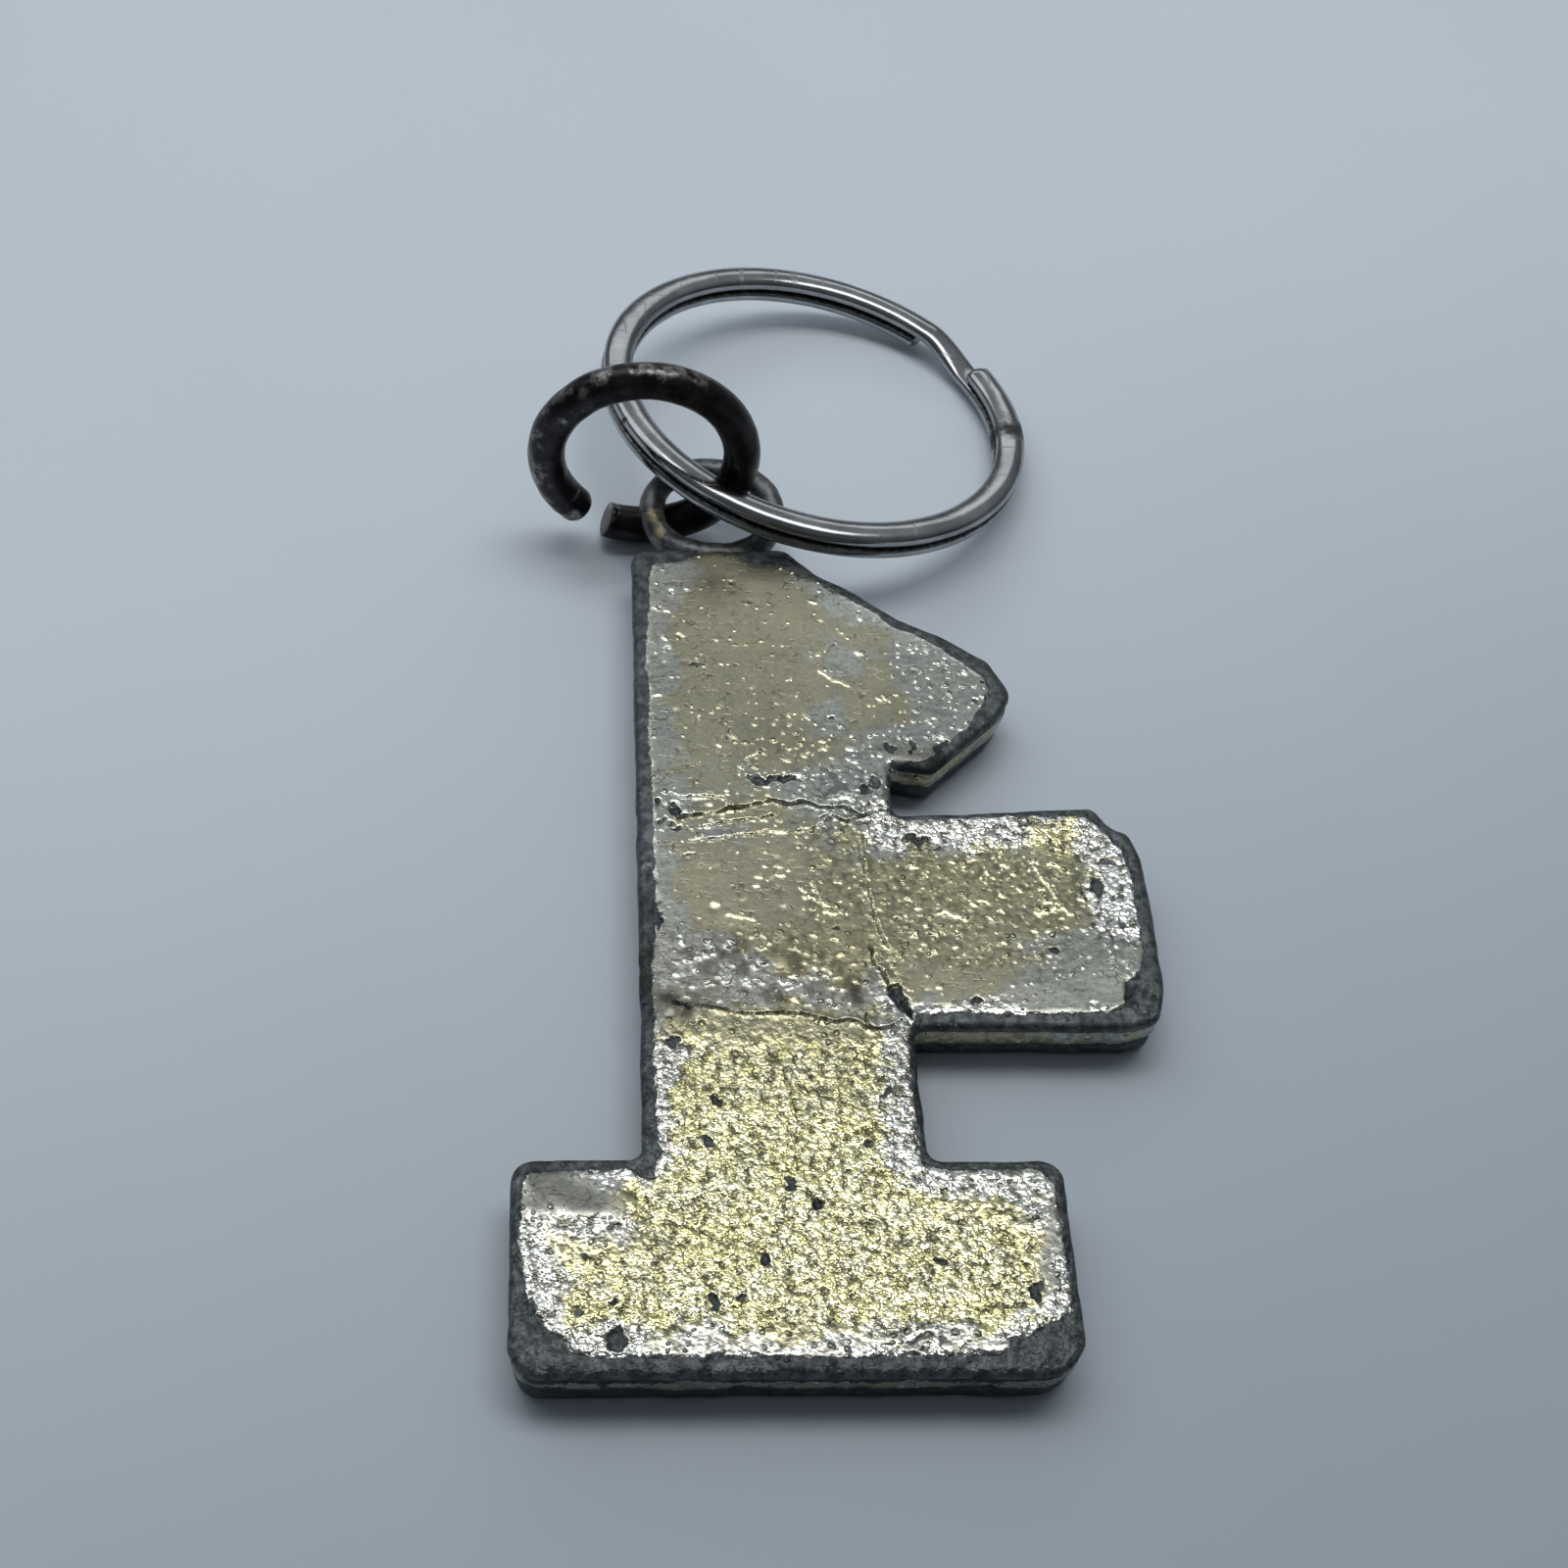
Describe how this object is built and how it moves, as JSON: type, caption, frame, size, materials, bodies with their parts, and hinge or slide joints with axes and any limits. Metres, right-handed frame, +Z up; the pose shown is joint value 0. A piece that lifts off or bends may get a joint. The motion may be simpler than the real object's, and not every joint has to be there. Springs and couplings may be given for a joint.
{
  "type": "keychain",
  "caption": "Cast metal charm shaped as a numeral one seen from behind, hung by its eyelet on an open jump ring and a two-turn split ring for keys.",
  "frame": {"origin": "middle of the numeral casting, on the front face that it rests on", "axes": "+Z up out of the back face, +Y along the stem towards the eyelet, +X towards the arm"},
  "size_m": [0.0317, 0.0737, 0.0128],
  "materials": {
    "plated_casting": "pitted cast surface with gold and silver plating, worn to dark grey metal along every edge",
    "bare_casting": "dull grey cast metal with traces of brassy plating",
    "blackened_wire": "blackened round steel wire, worn through in spots",
    "nickel_wire": "nickel plated spring steel with fine scratches and a brown stain"
  },
  "bodies": {
    "charm": {"numeral_casting": "plated_casting", "eyelet": "bare_casting"},
    "jump_link": {"jump_ring": "blackened_wire"},
    "key_link": {"split_ring": "nickel_wire"}
  },
  "joints": [
    {"name": "jump_ring_swing", "type": "hinge", "parent": "charm", "child": "jump_link", "pos_m": [-0.00505, 0.02848, 0.00322], "axis": [0, 1, 0], "range_deg": [-120, 0]},
    {"name": "split_ring_flip", "type": "hinge", "parent": "jump_link", "child": "key_link", "pos_m": [-0.00413, 0.02845, 0.00529], "axis": [0.6805, -0.7309, -0.0524], "range_deg": [0, 120]}
  ]
}
